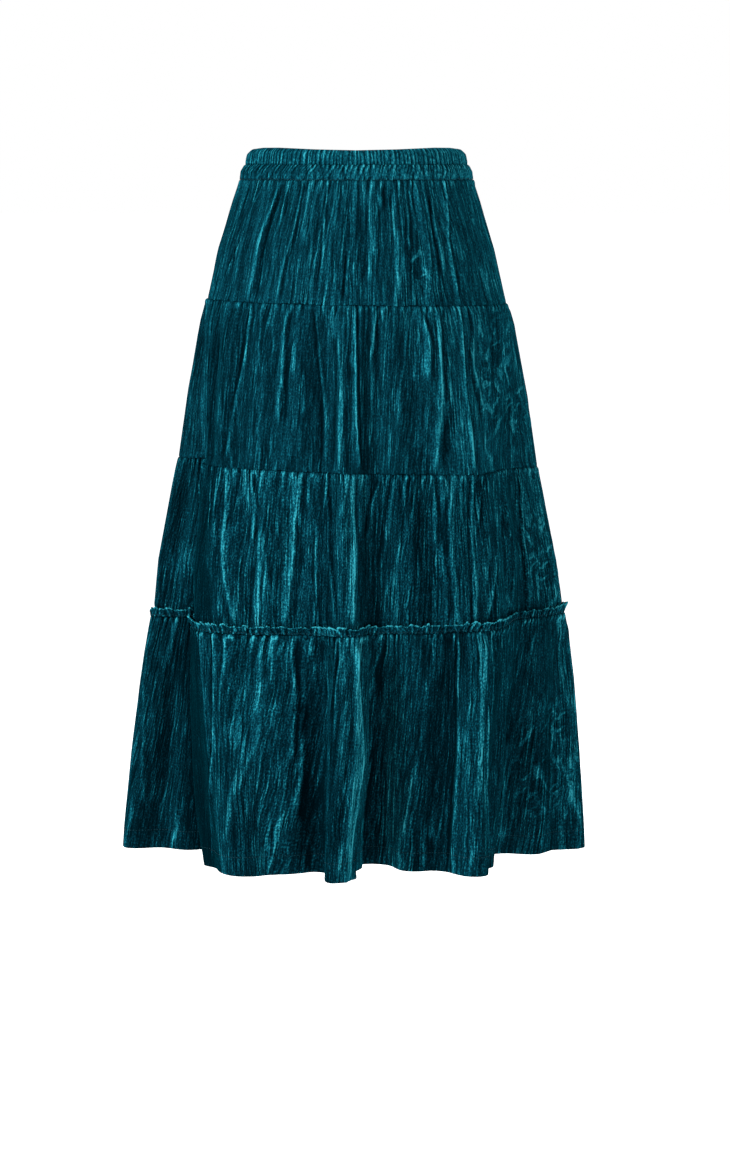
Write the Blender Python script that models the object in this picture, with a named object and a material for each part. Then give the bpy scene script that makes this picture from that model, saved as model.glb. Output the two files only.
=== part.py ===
"""Gathered midi skirt.

A tiered skirt in crushed velvet on an elastic waist: a ribbed waistband, a second elastic
channel below it, and four tiers, each gathered onto the one above. The fourth tier is set on
with a heading frill, which stands above its line of stitches and laps over the third tier.

Metres, +Z up, with the front towards -Y. The origin is the centre of the waist, at half the
height of the waistband, where the wearer holds the skirt up. The skirt is filled out as it is
worn, hollow, and open at the waist and at the hem. Each tier is a front and a back panel,
which meet at the side seams, and every panel is a wall of cloth lofted through its own rings.
"""

import math
from collections import namedtuple

import bmesh
import bpy
from mathutils import Vector

# ---------------------------------------------------------------------------
# Driving sizes. Heights are measured down from the top edge of the waistband.
# ---------------------------------------------------------------------------
WAISTBAND_FOOT = 0.0178
CHANNEL_FOOT = 0.0345
SEAM_1 = 0.163
SEAM_2 = 0.339
FRILL_TOP = 0.497
STITCH_LINE = 0.507
HEM = 0.767

BAND_WALL = 0.003    # casing, elastic and casing
CLOTH_WALL = 0.0016  # velvet with its pile
SEAM_GAP = 0.0003    # between neighbouring pieces
LAP = 0.0022         # the fourth tier and its frill lie this far outside the third tier
FRILL_FLARE = 0.006  # the free edge of the frill stands this far outside the third tier

# The filled-out form without its folds, as an ellipse at each height. The half width is that
# of both sides, the two depths are those of the front and the back, and the last column moves
# the whole ring sideways.
OUTLINE = (
    # below top, half width, front depth, back depth, sideways
    (0.0000, 0.1136, 0.0895, 0.0895, 0.0000),
    (0.0040, 0.1184, 0.0935, 0.0935, 0.0000),
    (0.0178, 0.1208, 0.0955, 0.0960, 0.0000),
    (0.0250, 0.1250, 0.0990, 0.0995, 0.0000),
    (0.0345, 0.1276, 0.1020, 0.1030, 0.0000),
    (0.0540, 0.1342, 0.1090, 0.1120, 0.0000),
    (0.1060, 0.1502, 0.1260, 0.1320, 0.0000),
    (0.1630, 0.1628, 0.1400, 0.1490, 0.0005),
    (0.1720, 0.1672, 0.1435, 0.1525, 0.0010),
    (0.1860, 0.1714, 0.1470, 0.1560, 0.0012),
    (0.2630, 0.1858, 0.1570, 0.1660, 0.0014),
    (0.3390, 0.1970, 0.1680, 0.1760, 0.0014),
    (0.3480, 0.1994, 0.1705, 0.1780, 0.0012),
    (0.3680, 0.2036, 0.1745, 0.1820, 0.0010),
    (0.4470, 0.2190, 0.1870, 0.1930, 0.0004),
    (0.5070, 0.2258, 0.1970, 0.2010, 0.0008),
    (0.5270, 0.2300, 0.1990, 0.2030, 0.0012),
    (0.5800, 0.2375, 0.2000, 0.2050, 0.0005),
    (0.6600, 0.2458, 0.2000, 0.2060, -0.0015),
    (0.7400, 0.2530, 0.2000, 0.2060, -0.0030),
    (0.7670, 0.2546, 0.2000, 0.2060, -0.0033),
)

# The large folds, one row for each crest or valley. A turn is in degrees, from the +X side (0)
# round the front (90) to the -X side (180) and round the back (270). The folds start at the
# first seam and deepen to the hem: plus stands out of the outline, minus sinks into it.
FOLD_LEVELS = (SEAM_1, SEAM_2, STITCH_LINE, HEM)
FOLDS = {
    "front": (
        # turn at seam 1, turn at hem, reach at seam 2, at stitch line, at hem
        (0.0, 0.0, 0.000, 0.000, 0.000),
        (14.0, 36.0, -0.028, -0.036, -0.089),
        (52.0, 58.0, 0.003, 0.005, 0.006),
        (67.0, 69.5, -0.002, -0.004, -0.040),
        (86.8, 86.8, -0.006, -0.014, -0.090),
        (90.2, 90.2, 0.003, 0.008, 0.018),
        (94.6, 94.6, 0.004, 0.009, 0.020),
        (100.5, 100.5, -0.003, -0.007, -0.042),
        (150.0, 115.0, 0.003, 0.010, 0.002),
        (174.0, 166.0, -0.034, -0.060, -0.100),
        (180.0, 180.0, 0.000, 0.000, 0.000),
    ),
    "back": (
        (180.0, 180.0, 0.000, 0.000, 0.000),
        (193.0, 199.0, -0.016, -0.034, -0.062),
        (212.0, 216.0, 0.003, 0.006, 0.010),
        (234.0, 232.0, -0.005, -0.012, -0.050),
        (247.0, 249.0, 0.003, 0.007, 0.014),
        (268.0, 264.0, -0.006, -0.015, -0.066),
        (275.0, 276.0, 0.004, 0.008, 0.012),
        (298.0, 293.0, -0.004, -0.010, -0.044),
        (314.0, 312.0, 0.003, 0.007, 0.008),
        (346.0, 340.0, -0.020, -0.036, -0.070),
        (360.0, 360.0, 0.000, 0.000, 0.000),
    ),
}

# No seam hangs quite level: the fall towards +X, as a slope.
SEAM_SLOPES = (
    # below top, slope
    (CHANNEL_FOOT, 0.000),
    (SEAM_1, 0.016),
    (SEAM_2, 0.026),
    (STITCH_LINE, -0.010),
    (HEM, 0.000),
)

# The pieces, from the waist down. Rings are placed by their share of a piece's height, gathers
# are counted on each half of the round, and their depth is given at the top, at the belly a
# quarter of the way down, and at the foot.
Piece = namedtuple("Piece", "name top foot wall gathers points rings depths stand_off halves")
BELLY = 0.25
PIECES = (
    Piece("waistband", 0.0, WAISTBAND_FOOT, BAND_WALL, 15, 4, (0, 0.22, 1),
          (0.0010, 0.0014, 0.0014), (0, 0), False),
    Piece("elastic_channel", WAISTBAND_FOOT, CHANNEL_FOOT, BAND_WALL, 15, 4, (0, 0.45, 1),
          (0.0014, 0.0026, 0.0016), (0, 0), False),
    Piece("tier_1", CHANNEL_FOOT, SEAM_1, CLOTH_WALL, 16, 5, (0, 0.15, 0.5, 1),
          (0.0014, 0.0034, 0.0024), (0, 0), True),
    Piece("tier_2", SEAM_1, SEAM_2, CLOTH_WALL, 15, 5, (0, 0.1, 0.5, 1),
          (0.0016, 0.0050, 0.0034), (0, 0), True),
    Piece("tier_3", SEAM_2, STITCH_LINE, CLOTH_WALL, 16, 5, (0, 0.1, 0.5, 1),
          (0.0016, 0.0056, 0.0030), (0, 0), True),
    Piece("heading_frill", FRILL_TOP, STITCH_LINE, CLOTH_WALL, 20, 4, (0, 1),
          (0.0034, 0.0020, 0.0000), (FRILL_FLARE, LAP), True),
    Piece("tier_4", STITCH_LINE, HEM, CLOTH_WALL, 14, 6, (0, 0.08, 0.35, 0.68, 1),
          (0.0016, 0.0066, 0.0100), (LAP, LAP), True),
)

# Uneven spacing of the gathers along a panel: waves of stretch, each (how many, how strong).
SPACING_WAVES = ((3, 0.22), (7, 0.20), (11, 0.14))
UNEVEN_DEPTH = 0.35   # how much a gather's depth differs from its neighbours'
UNEVEN_STEP = 2.3     # how fast that changes from one gather to the next
SECTION_STEPS = 24    # steps between two fold rows when a section is measured

PILE_COLOURS = {
    "waistband": (0.006, 0.085, 0.105, 1.0),
    "elastic_channel": (0.007, 0.095, 0.115, 1.0),
    "heading_frill": (0.010, 0.140, 0.160, 1.0),
}
TIER_COLOUR = (0.006, 0.090, 0.110, 1.0)
PILE_ROUGHNESS = 0.75

COLLECTION_NAME = "gathered_midi_skirt"


# ---------------------------------------------------------------------------
# Reading the tables
# ---------------------------------------------------------------------------
def read_table(rows, place):
    """The values of a table at a place in its first column, straight between two rows."""
    if place <= rows[0][0]:
        return rows[0][1:]
    for (low, *before), (high, *after) in zip(rows, rows[1:]):
        if place <= high:
            share = (place - low) / (high - low)
            return [a + (b - a) * share for a, b in zip(before, after)]
    return rows[-1][1:]


def fold_row(half, number, height):
    """The turn and the reach of one crest or valley at a height."""
    turn_at_seam, turn_at_hem, *reaches = FOLDS[half][number]
    fall = max(0.0, (height - SEAM_1) / (HEM - SEAM_1))
    turn = turn_at_seam + (turn_at_hem - turn_at_seam) * fall
    (reach,) = read_table(list(zip(FOLD_LEVELS, (0.0, *reaches))), height)
    return turn, reach


# ---------------------------------------------------------------------------
# The sections of the filled-out form
# ---------------------------------------------------------------------------
def section_point(half, place, height):
    """A point of the folded outline. A whole place is a row of the fold table."""
    number = min(int(place), len(FOLDS[half]) - 2)
    share = place - number
    turn_a, reach_a = fold_row(half, number, height)
    turn_b, reach_b = fold_row(half, number + 1, height)
    turn = math.radians(turn_a + (turn_b - turn_a) * share)
    reach = reach_a + (reach_b - reach_a) * share * share * (3.0 - 2.0 * share)
    half_width, front_depth, back_depth, sideways = read_table(OUTLINE, height)
    depth = front_depth if half == "front" else back_depth
    outward = Vector((depth * math.cos(turn), -half_width * math.sin(turn))).normalized()
    on_ellipse = Vector((sideways + half_width * math.cos(turn), -depth * math.sin(turn)))
    return on_ellipse + outward * reach


def section_outward(half, place, height):
    """The level direction that points out of the folded outline there."""
    last = len(FOLDS[half]) - 1
    step = 1.0 / SECTION_STEPS
    before = section_point(half, max(0.0, place - step), height)
    after = section_point(half, min(last, place + step), height)
    along = (after - before).normalized()
    return Vector((-along.y, along.x))


def spaced(share):
    """An even share of a panel's width, moved so that the gathers are unevenly wide."""
    return share + sum(
        strength * math.sin(math.tau * waves * share) / (math.tau * waves)
        for waves, strength in SPACING_WAVES
    )


def column_places(half, height, count):
    """The places of a panel's columns, count + 1 of them, measured along the cloth."""
    last = len(FOLDS[half]) - 1
    places = [step / SECTION_STEPS for step in range(last * SECTION_STEPS + 1)]
    points = [section_point(half, place, height) for place in places]
    lengths = [0.0]
    for before, after in zip(points, points[1:]):
        lengths.append(lengths[-1] + (after - before).length)
    rows = list(zip(lengths, places))
    return [read_table(rows, lengths[-1] * spaced(n / count))[0] for n in range(count + 1)]


# ---------------------------------------------------------------------------
# The cloth of a piece
# ---------------------------------------------------------------------------
def gather_depth(piece, column, share):
    """How far a gather draws the cloth in: nothing on its crest, most in its valley."""
    top, belly, foot = piece.depths
    (full,) = read_table(((0.0, top), (BELLY, belly), (1.0, foot)), share)
    number, part = divmod(column / piece.points, 1.0)
    uneven = 1.0 + UNEVEN_DEPTH * math.sin(UNEVEN_STEP * number + piece.gathers)
    return full * uneven * 0.5 * (1.0 - math.cos(math.tau * part))


def wall_points(piece, half, places, share):
    """One ring of a panel, as (outer, inner) points. Both edges of the ring are level."""
    top = piece.top + SEAM_GAP / 2
    foot = piece.foot - SEAM_GAP / 2
    height = top + (foot - top) * share
    stand_off = piece.stand_off[0] + (piece.stand_off[1] - piece.stand_off[0]) * share
    (slope,) = read_table(SEAM_SLOPES, height)
    ring = []
    for column, place in enumerate(places):
        outward = section_outward(half, place, height)
        at_side_seam = column in (0, len(places) - 1)
        if at_side_seam:
            outward = Vector((math.copysign(1.0, outward.x), 0.0))
        base = section_point(half, place, height)
        outer = base + outward * (stand_off - gather_depth(piece, column, share))
        inner = outer - outward * piece.wall
        if at_side_seam and piece.halves:
            outer.y = inner.y = SEAM_GAP / 2 if half == "back" else -SEAM_GAP / 2
        ring.append(tuple(
            Vector((point.x, point.y, WAISTBAND_FOOT / 2 - height - slope * point.x))
            for point in (outer, inner)
        ))
    return ring


def add_wall(mesh, rings, closed):
    """Faces round a wall: outside, inside, both rims and, on a panel, both side edges."""
    outer = [[mesh.verts.new(point) for point, _ in ring] for ring in rings]
    inner = [[mesh.verts.new(point) for _, point in ring] for ring in rings]
    count = len(rings[0])
    following = [(n, (n + 1) % count) for n in range(count if closed else count - 1)]
    for upper, lower in zip(range(len(rings)), range(1, len(rings))):
        for a, b in following:
            mesh.faces.new((outer[upper][a], outer[upper][b], outer[lower][b], outer[lower][a]))
            mesh.faces.new((inner[upper][b], inner[upper][a], inner[lower][a], inner[lower][b]))
        if not closed:
            mesh.faces.new((outer[upper][0], outer[lower][0], inner[lower][0], inner[upper][0]))
            mesh.faces.new((outer[lower][-1], outer[upper][-1], inner[upper][-1],
                            inner[lower][-1]))
    for a, b in following:
        mesh.faces.new((outer[0][b], outer[0][a], inner[0][a], inner[0][b]))
        mesh.faces.new((outer[-1][a], outer[-1][b], inner[-1][b], inner[-1][a]))


def velvet(name, colour):
    material = bpy.data.materials.new(name)
    material.use_nodes = True
    surface = material.node_tree.nodes["Principled BSDF"]
    surface.inputs["Base Color"].default_value = colour
    surface.inputs["Roughness"].default_value = PILE_ROUGHNESS
    surface.inputs["Metallic"].default_value = 0.0
    surface.inputs["Sheen Weight"].default_value = 1.0
    material.diffuse_color = colour
    return material


def add_piece(collection, name, colour, rings, closed):
    """One named object: its wall of cloth, smooth, with a material of its own."""
    form = bmesh.new()
    add_wall(form, rings, closed)
    bmesh.ops.recalc_face_normals(form, faces=form.faces)
    mesh = bpy.data.meshes.new(name)
    form.to_mesh(mesh)
    form.free()
    mesh.shade_smooth()
    mesh.set_sharp_from_angle(angle=math.radians(50.0))
    mesh.materials.append(velvet(f"{name}_velvet", colour))
    collection.objects.link(bpy.data.objects.new(name, mesh))


def rings_of(piece, half):
    places = column_places(half, piece.foot, piece.gathers * piece.points)
    return [wall_points(piece, half, places, share) for share in piece.rings]


def build_skirt():
    for old in list(bpy.data.objects):
        bpy.data.objects.remove(old, do_unlink=True)
    collection = bpy.data.collections.new(COLLECTION_NAME)
    bpy.context.scene.collection.children.link(collection)
    for piece in PIECES:
        colour = PILE_COLOURS.get(piece.name, TIER_COLOUR)
        front = rings_of(piece, "front")
        back = rings_of(piece, "back")
        if piece.halves:
            add_piece(collection, f"{piece.name}_front", colour, front, closed=False)
            add_piece(collection, f"{piece.name}_back", colour, back, closed=False)
        else:
            whole = [one[:-1] + other[:-1] for one, other in zip(front, back)]
            add_piece(collection, piece.name, colour, whole, closed=True)


build_skirt()
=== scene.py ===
import math

import bpy
import numpy as np
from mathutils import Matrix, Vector


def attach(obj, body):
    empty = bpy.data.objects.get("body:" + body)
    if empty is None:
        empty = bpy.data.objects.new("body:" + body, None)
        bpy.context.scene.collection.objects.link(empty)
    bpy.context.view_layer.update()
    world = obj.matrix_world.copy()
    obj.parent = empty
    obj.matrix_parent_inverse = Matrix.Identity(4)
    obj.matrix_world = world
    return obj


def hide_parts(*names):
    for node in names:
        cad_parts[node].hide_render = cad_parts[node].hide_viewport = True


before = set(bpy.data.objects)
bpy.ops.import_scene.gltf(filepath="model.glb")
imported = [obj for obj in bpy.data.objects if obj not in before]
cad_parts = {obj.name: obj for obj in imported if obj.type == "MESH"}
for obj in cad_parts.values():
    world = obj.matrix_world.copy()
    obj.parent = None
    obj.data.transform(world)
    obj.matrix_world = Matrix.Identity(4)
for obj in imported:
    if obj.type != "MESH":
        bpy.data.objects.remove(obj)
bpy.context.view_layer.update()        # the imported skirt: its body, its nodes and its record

# ---------------------------------------------------------------------------
# The studio. A plain white floor under soft lights, and the camera where the photograph's is
# taken to have been: level with the waist, 4.2 m in front of it, tilted down to the middle.
# ---------------------------------------------------------------------------
CAMERA_AWAY = 4.2
CAMERA_ASIDE = 0.0093
CAMERA_UP = 0.0089
CAMERA_TILT = math.radians(6.44)
CAMERA_LENS = 118.5          # mm, on a sensor 36 mm high
FLOOR_UP = -1.05             # the wearer's floor: the hem hangs 0.29 m above it
FLOOR_HALF_WIDTH = 60.0
FLOOR_WHITE = (0.93, 0.93, 0.93, 1.0)
# The floor and the air look white, but light the skirt only this much.
FLOOR_GLOW = 0.58
AIR_LIGHT = 0.24

camera_data = bpy.data.cameras.new("camera")
camera_data.lens = CAMERA_LENS
camera_data.sensor_width = 36.0
camera = bpy.data.objects.new("camera", camera_data)
camera.location = (CAMERA_ASIDE, -CAMERA_AWAY, CAMERA_UP)
camera.rotation_euler = (math.pi / 2 - CAMERA_TILT, 0.0, 0.0)
bpy.context.scene.collection.objects.link(camera)
bpy.context.scene.camera = camera


def add_softbox(name, place, target, size, watts):
    """A square area light that faces a point."""
    lamp = bpy.data.lights.new(name, "AREA")
    lamp.shape = "SQUARE"
    lamp.size = size
    lamp.energy = watts
    box = bpy.data.objects.new(name, lamp)
    box.location = place
    aim = Vector(target) - Vector(place)
    box.rotation_euler = aim.to_track_quat("-Z", "Y").to_euler()
    bpy.context.scene.collection.objects.link(box)


add_softbox("key_light", (-2.4, -1.7, 1.4), (0.0, 0.0, -0.25), 0.9, 150.0)
add_softbox("fill_light", (2.5, -2.2, 0.6), (0.0, 0.0, -0.35), 1.6, 26.0)
add_softbox("back_light", (1.3, 2.2, 1.8), (0.0, 0.0, -0.35), 1.5, 70.0)


def white_to_camera(tree, strength, lights):
    """A strength that is full for the camera, and less as a light."""
    seen = tree.nodes.new("ShaderNodeLightPath")
    choice = tree.nodes.new("ShaderNodeMapRange")
    choice.inputs["To Min"].default_value = lights
    choice.inputs["To Max"].default_value = 1.0
    tree.links.new(seen.outputs["Is Camera Ray"], choice.inputs["Value"])
    tree.links.new(choice.outputs[0], strength)


world = bpy.data.worlds.new("studio_air")
world.use_nodes = True
air = world.node_tree.nodes["Background"]
air.inputs["Color"].default_value = (1.0, 1.0, 1.0, 1.0)
white_to_camera(world.node_tree, air.inputs["Strength"], AIR_LIGHT)
bpy.context.scene.world = world
bpy.context.scene.view_settings.view_transform = "Standard"

floor_paint = bpy.data.materials.new("white_floor")
floor_paint.use_nodes = True
floor_surface = floor_paint.node_tree.nodes["Principled BSDF"]
floor_surface.inputs["Base Color"].default_value = FLOOR_WHITE
floor_surface.inputs["Roughness"].default_value = 0.9
floor_surface.inputs["Emission Color"].default_value = FLOOR_WHITE
white_to_camera(floor_paint.node_tree, floor_surface.inputs["Emission Strength"], FLOOR_GLOW)

floor_mesh = bpy.data.meshes.new("floor")
floor_mesh.from_pydata(
    [(x * FLOOR_HALF_WIDTH, y * FLOOR_HALF_WIDTH, FLOOR_UP)
     for x, y in ((-1, -1), (1, -1), (1, 1), (-1, 1))], [], [(0, 1, 2, 3)])
floor_mesh.materials.append(floor_paint)
floor = bpy.data.objects.new("floor", floor_mesh)
bpy.context.scene.collection.objects.link(floor)

# ---------------------------------------------------------------------------
# The waistband. A narrow casing of the velvet over a flat elastic, which draws it into fine
# upright ribs. It holds the skirt to the waist, so the worn form of the whole skirt starts
# here: an outline at each height, and the large folds that hang from the first seam down.
# Heights are measured down from the waistband's top edge, and a piece's cloth is laid on
# this form as rows (down the skirt) and columns (from the +X side seam round to the other).
# ---------------------------------------------------------------------------
WAIST_MIDDLE = 0.0089        # the origin's height: the middle of the waistband's casing
WAISTBAND_FOOT = 0.0154      # where the channel's tufts start, lapping over the casing's foot
CHANNEL_FOOT = 0.0320
SEAM_1 = 0.163
SEAM_2 = 0.339
STITCH_LINE = 0.507
HEM = 0.767
OUTLINE = np.array((
    # below top, half width, front depth, back depth, sideways
    (0.0000, 0.1136, 0.0895, 0.0895, 0.0000),
    (0.0040, 0.1184, 0.0935, 0.0935, 0.0000),
    (0.0154, 0.1206, 0.0953, 0.0958, 0.0000),
    (0.0226, 0.1248, 0.0988, 0.0993, 0.0000),
    (0.0345, 0.1276, 0.1020, 0.1030, 0.0000),
    (0.0540, 0.1342, 0.1090, 0.1120, 0.0000),
    (0.1060, 0.1502, 0.1260, 0.1320, 0.0000),
    (0.1630, 0.1628, 0.1400, 0.1490, 0.0005),
    (0.1720, 0.1672, 0.1435, 0.1525, 0.0010),
    (0.1860, 0.1714, 0.1470, 0.1560, 0.0012),
    (0.2630, 0.1858, 0.1570, 0.1660, 0.0014),
    (0.3390, 0.1970, 0.1680, 0.1760, 0.0014),
    (0.3480, 0.1994, 0.1705, 0.1780, 0.0012),
    (0.3680, 0.2036, 0.1745, 0.1820, 0.0010),
    (0.4470, 0.2190, 0.1870, 0.1930, 0.0004),
    (0.5070, 0.2258, 0.1970, 0.2010, 0.0008),
    (0.5270, 0.2300, 0.1990, 0.2030, 0.0012),
    (0.5800, 0.2375, 0.2000, 0.2050, 0.0005),
    (0.6600, 0.2458, 0.2000, 0.2060, -0.0015),
    (0.7400, 0.2530, 0.2000, 0.2060, -0.0030),
    (0.7670, 0.2546, 0.2000, 0.2060, -0.0033),
))
FOLD_LEVELS = (SEAM_1, SEAM_2, STITCH_LINE, HEM)
FOLDS = {
    "front": np.array((
        # turn at seam 1, turn at hem, reach at seam 2, at stitch line, at hem
        (0.0, 0.0, 0.000, 0.000, 0.000),
        (14.0, 36.0, -0.028, -0.036, -0.089),
        (52.0, 58.0, 0.003, 0.005, 0.006),
        (67.0, 69.5, -0.002, -0.004, -0.040),
        (86.8, 86.8, -0.006, -0.014, -0.090),
        (90.2, 90.2, 0.003, 0.008, 0.018),
        (94.6, 94.6, 0.004, 0.009, 0.020),
        (100.5, 100.5, -0.003, -0.007, -0.042),
        (150.0, 115.0, 0.003, 0.010, 0.002),
        (174.0, 166.0, -0.034, -0.060, -0.100),
        (180.0, 180.0, 0.000, 0.000, 0.000),
    )),
    "back": np.array((
        (180.0, 180.0, 0.000, 0.000, 0.000),
        (193.0, 199.0, -0.016, -0.034, -0.062),
        (212.0, 216.0, 0.003, 0.006, 0.010),
        (234.0, 232.0, -0.005, -0.012, -0.050),
        (247.0, 249.0, 0.003, 0.007, 0.014),
        (268.0, 264.0, -0.006, -0.015, -0.066),
        (275.0, 276.0, 0.004, 0.008, 0.012),
        (298.0, 293.0, -0.004, -0.010, -0.044),
        (314.0, 312.0, 0.003, 0.007, 0.008),
        (346.0, 340.0, -0.020, -0.036, -0.070),
        (360.0, 360.0, 0.000, 0.000, 0.000),
    )),
}
SEAM_SLOPES = np.array((
    # below top, fall towards +X
    (CHANNEL_FOOT, 0.000),
    (SEAM_1, 0.016),
    (SEAM_2, 0.026),
    (STITCH_LINE, -0.010),
    (HEM, 0.000),
))
HALVES = ("front", "back")
CLOTH_WALL = 0.0013
BAND_WALL = 0.0030


def read_rows(rows, place):
    """The columns of a table at some places in its first column, one array for each."""
    return [np.interp(place, rows[:, 0], column) for column in rows[:, 1:].T]


def ease(share):
    """0 to 1 with a soft start and a soft end."""
    share = np.clip(share, 0.0, 1.0)
    return share * share * (3.0 - 2.0 * share)


def bell(distance, half_width):
    """1 in the middle, falling away on both sides."""
    return np.exp(-(distance / half_width) ** 2)


def form_rings(half, places, heights):
    """Level points of the worn form, rows by columns. A whole place is a row of FOLDS."""
    folds = FOLDS[half]
    fall = np.clip((heights - SEAM_1) / (HEM - SEAM_1), 0.0, 1.0)[:, None]
    turns = np.radians(folds[:, 0] + (folds[:, 1] - folds[:, 0]) * fall)
    reaches = np.stack(
        [np.interp(heights, FOLD_LEVELS, (0.0, *fold[2:])) for fold in folds], axis=1)
    number = np.minimum(places.astype(int), len(folds) - 2)
    share = places - number
    turn = turns[:, number] * (1.0 - share) + turns[:, number + 1] * share
    reach = reaches[:, number] + (reaches[:, number + 1] - reaches[:, number]) * ease(share)
    half_width, front, back, sideways = (
        column[:, None] for column in read_rows(OUTLINE, heights))
    depth = front if half == "front" else back
    outward = np.stack([depth * np.cos(turn), -half_width * np.sin(turn)], axis=-1)
    outward /= np.linalg.norm(outward, axis=-1, keepdims=True)
    ellipse = np.stack(
        [sideways + half_width * np.cos(turn), -depth * np.sin(turn)], axis=-1)
    return ellipse + outward * reach[..., None]


def column_places(half, height, shares):
    """The places of columns at shares of the cloth's width there, and that width."""
    last = len(FOLDS[half]) - 1
    places = np.linspace(0.0, last, last * 40 + 1)
    ring = form_rings(half, places, np.array([height]))[0]
    steps = np.linalg.norm(np.diff(ring, axis=0), axis=1)
    lengths = np.concatenate([[0.0], np.cumsum(steps)])
    return np.interp(shares * lengths[-1], lengths, places), lengths[-1]


def mirrored_ends(ring, count):
    """A panel's rows with some columns beyond each side seam, mirrored over it."""
    flip = np.array([1.0, -1.0])
    before = ring[:, 1:count + 1][:, ::-1] * flip
    after = ring[:, -count - 1:-1][:, ::-1] * flip
    return np.concatenate([before, ring, after], axis=1)


def rounded(ring, blur):
    """A panel's rows with their corners rounded over some columns."""
    reach = 3 * blur
    weights = bell(np.arange(-reach, reach + 1), math.sqrt(2.0) * blur)
    wide = mirrored_ends(ring, reach)
    columns = ring.shape[1]
    return sum(w * wide[:, n:n + columns] for n, w in enumerate(weights)) / weights.sum()


def soft_form(half, places, heights, blur):
    """The worn form with rounded corners, its level outward way, and how deep it lies sunk
    between its neighbours, from 0 to 1."""
    sharp = form_rings(half, places, heights)
    level = rounded(sharp, blur)
    wide = mirrored_ends(level, 1)
    along = wide[:, 2:] - wide[:, :-2]
    along /= np.linalg.norm(along, axis=-1, keepdims=True)
    outward = np.stack([-along[..., 1], along[..., 0]], axis=-1)
    around = rounded(level[:, ::4], 5)
    full = np.arange(level.shape[1])
    around = np.stack(
        [[np.interp(full, full[::4], row) for row in around[..., n]] for n in (0, 1)], axis=-1)
    sunk = np.clip(((around - level) * outward).sum(axis=-1) / 0.012, 0.0, 1.0)
    return level, outward, sunk


def place_rows(level, heights):
    """Level points given their height, with the slope that the seams have there."""
    (slope,) = read_rows(SEAM_SLOPES, heights)
    up = WAIST_MIDDLE - heights[:, None] - slope[:, None] * level[..., 0]
    return np.concatenate([level, up[..., None]], axis=-1)


def whole_ring(heights, columns, blur):
    """Both halves of the form as one closed ring, with its outward way and its measures."""
    shares = np.linspace(0.0, 1.0, columns // 2 + 1)
    levels, outwards, alongs = [], [], []
    girth = 0.0
    for half in HALVES:
        places, length = column_places(half, heights[-1], shares)
        level, outward, _ = soft_form(half, places, heights, blur)
        levels.append(level[:, :-1])
        outwards.append(outward[:, :-1])
        alongs.append(girth + shares[:-1] * length)
        girth += length
    return (np.concatenate(levels, axis=1), np.concatenate(outwards, axis=1),
            np.concatenate(alongs)[None, :], girth)


def pleats(along, width, pitch, seed):
    """Uneven pleats side by side: the number of the one at each place, and how far into it."""
    random = np.random.default_rng(seed)
    edges = np.concatenate([[0.0], np.cumsum(random.uniform(0.5, 1.5, round(width / pitch)))])
    number = np.interp(along, edges / edges[-1] * width, np.arange(len(edges)))
    pleat = np.minimum(number.astype(int), len(edges) - 2)
    return pleat, number - pleat


def each(random, least, most, pleat):
    """A random value for every pleat, given at each of its places."""
    return random.uniform(least, most, pleat.max() + 1)[pleat]


def crest_of(part):
    """The rounded top of a pleat, from 0 where it starts to 1 in its middle."""
    return np.abs(np.sin(np.pi * part)) ** 0.8


def valley_of(part, half_width):
    """1 where two pleats meet, falling away into both."""
    return bell((part + 0.5) % 1.0 - 0.5, half_width)


def runs_down(random, down, length, count, least):
    """Smooth random runs down the cloth, one for each strip, from a least value to 1."""
    far = (down[:, :1] - down.min()) / length
    lattice = random.uniform(least, 1.0, (int(far.max()) + 4, count))
    place = far + random.uniform(0.0, 1.0, count)
    cell = place.astype(int)
    share = ease(place - cell)
    strip = np.arange(count)[None, :]
    return lattice[cell, strip] * (1.0 - share) + lattice[cell + 1, strip] * share


def streaks(along, down, pitch, length, seed):
    """Smooth random streaks from -1 to 1, a pitch apart across the cloth and long down it."""
    random = np.random.default_rng(seed)
    along, down = np.broadcast_arrays(along, down)
    across = (along - along.min()) / pitch
    values = runs_down(random, down, length, int(across.max()) + 4, -1.0)
    number = across.astype(int)
    share = ease(across - number)
    row = np.arange(len(values))[:, None]
    return values[row, number] * (1.0 - share) + values[row, number + 1] * share


def creases(along, down, width, pitch, length, thin, seed):
    """Thin creases that come and go down the cloth: how far each stands out, and how much
    it is painted lit. Each has a hollow close by on one side, dented in and painted in shade."""
    pleat, part = pleats(np.clip(along, 0.0, width), width, pitch, seed)
    random = np.random.default_rng(seed + 1)
    count = pleat.max() + 1
    strength = np.maximum(runs_down(random, down, length, count, -0.7), 0.0)
    strength = strength[np.arange(len(pleat))[:, None], pleat]
    aside = (part - 0.5) * random.choice((-1.0, 1.0, 1.0), count)[pleat]
    hollow = bell(aside - 1.7 * thin, thin)
    stands_out = strength * (bell(aside, 1.2 * thin) - 0.7 * hollow)
    return stands_out, strength * (bell(aside, thin) - 0.6 * hollow)


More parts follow.
